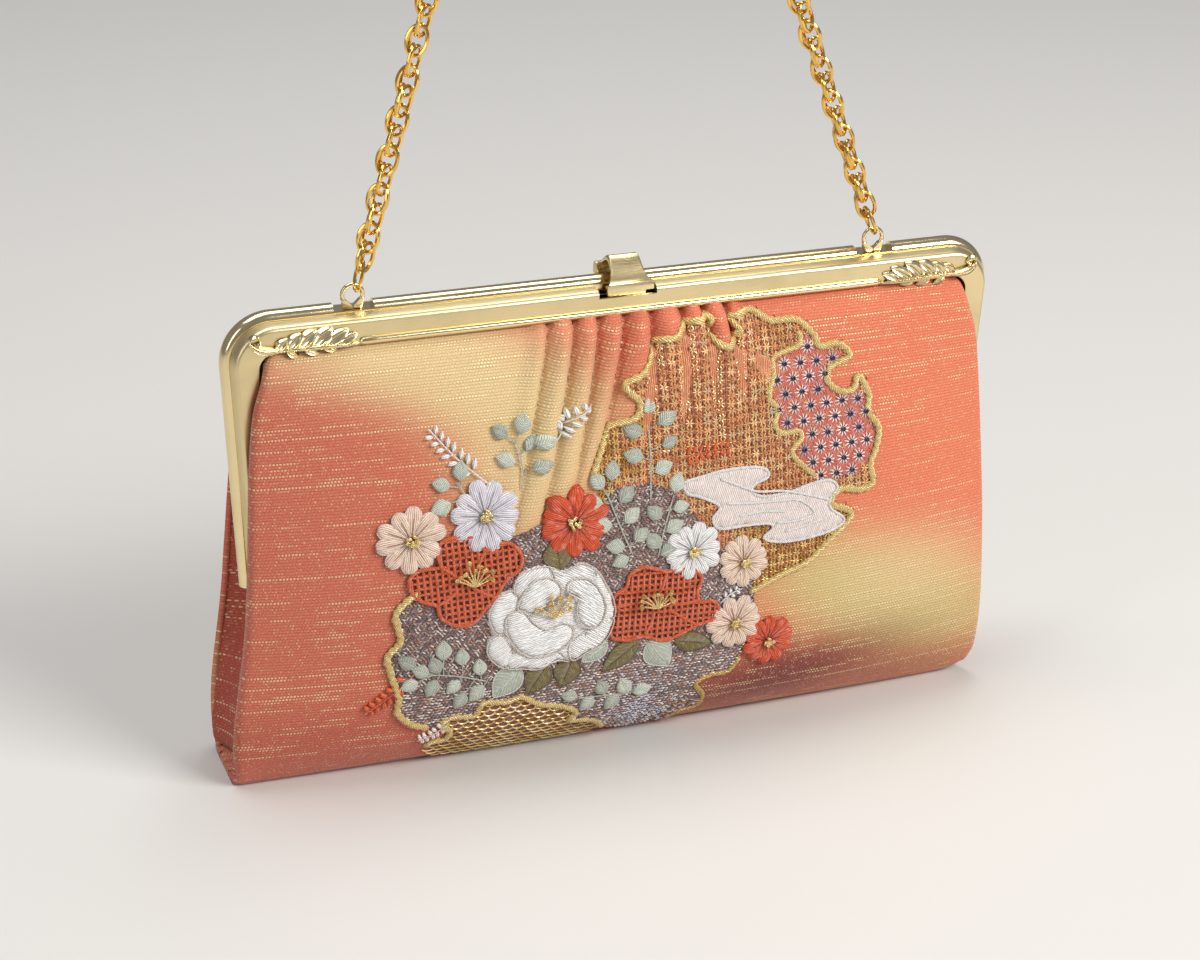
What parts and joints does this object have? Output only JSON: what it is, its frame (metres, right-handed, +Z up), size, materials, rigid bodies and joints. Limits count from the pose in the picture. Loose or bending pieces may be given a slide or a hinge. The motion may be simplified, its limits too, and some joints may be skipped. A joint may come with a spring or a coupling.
{
  "type": "frame clutch bag with chain handle",
  "caption": "Formal cloth clutch with a gathered, embroidered front, a hinged gold-tone frame, a lift-up clasp and a chain handle held up at its middle.",
  "frame": {"origin": "middle of the chain where it is held up, at the top of the bend between its two strands", "axes": "+X to the bag's right as seen from the front, +Y to the back, +Z up along the hanging bag"},
  "size_m": [0.241, 0.054, 0.3872],
  "materials": {
    "satin_gold": "satin champagne gold plating on brass sheet",
    "polished_gold": "polished champagne gold plating",
    "chain_gold": "polished deep yellow gold plating",
    "brocade_cloth": "ribbed salmon brocade with gold wefts, shaded to champagne and maroon",
    "embroidery": "satin-stitched silk thread and couched gold cord"
  },
  "bodies": {
    "bag": {"front_frame": "satin_gold", "back_frame": "satin_gold", "front_panel": "brocade_cloth", "back_panel": "brocade_cloth", "gusset_left": "brocade_cloth", "gusset_right": "brocade_cloth", "clasp_bracket": "satin_gold", "clasp_catch": "polished_gold", "hinge_rivet_left": "polished_gold", "hinge_rivet_right": "polished_gold", "corner_leaf_left": "polished_gold", "corner_leaf_right": "polished_gold", "chain_lug_left": "polished_gold", "chain_lug_right": "polished_gold", "end_link_left": "chain_gold", "end_link_right": "chain_gold", "chain": "chain_gold"},
    "clasp": {"clasp_tab": "polished_gold"}
  },
  "joints": [
    {"name": "clasp_hinge", "type": "hinge", "parent": "bag", "child": "clasp", "pos_m": [0.01504, 0.0052, -0.23987], "axis": [-1, 0, 0], "range_deg": [0, 75]}
  ]
}
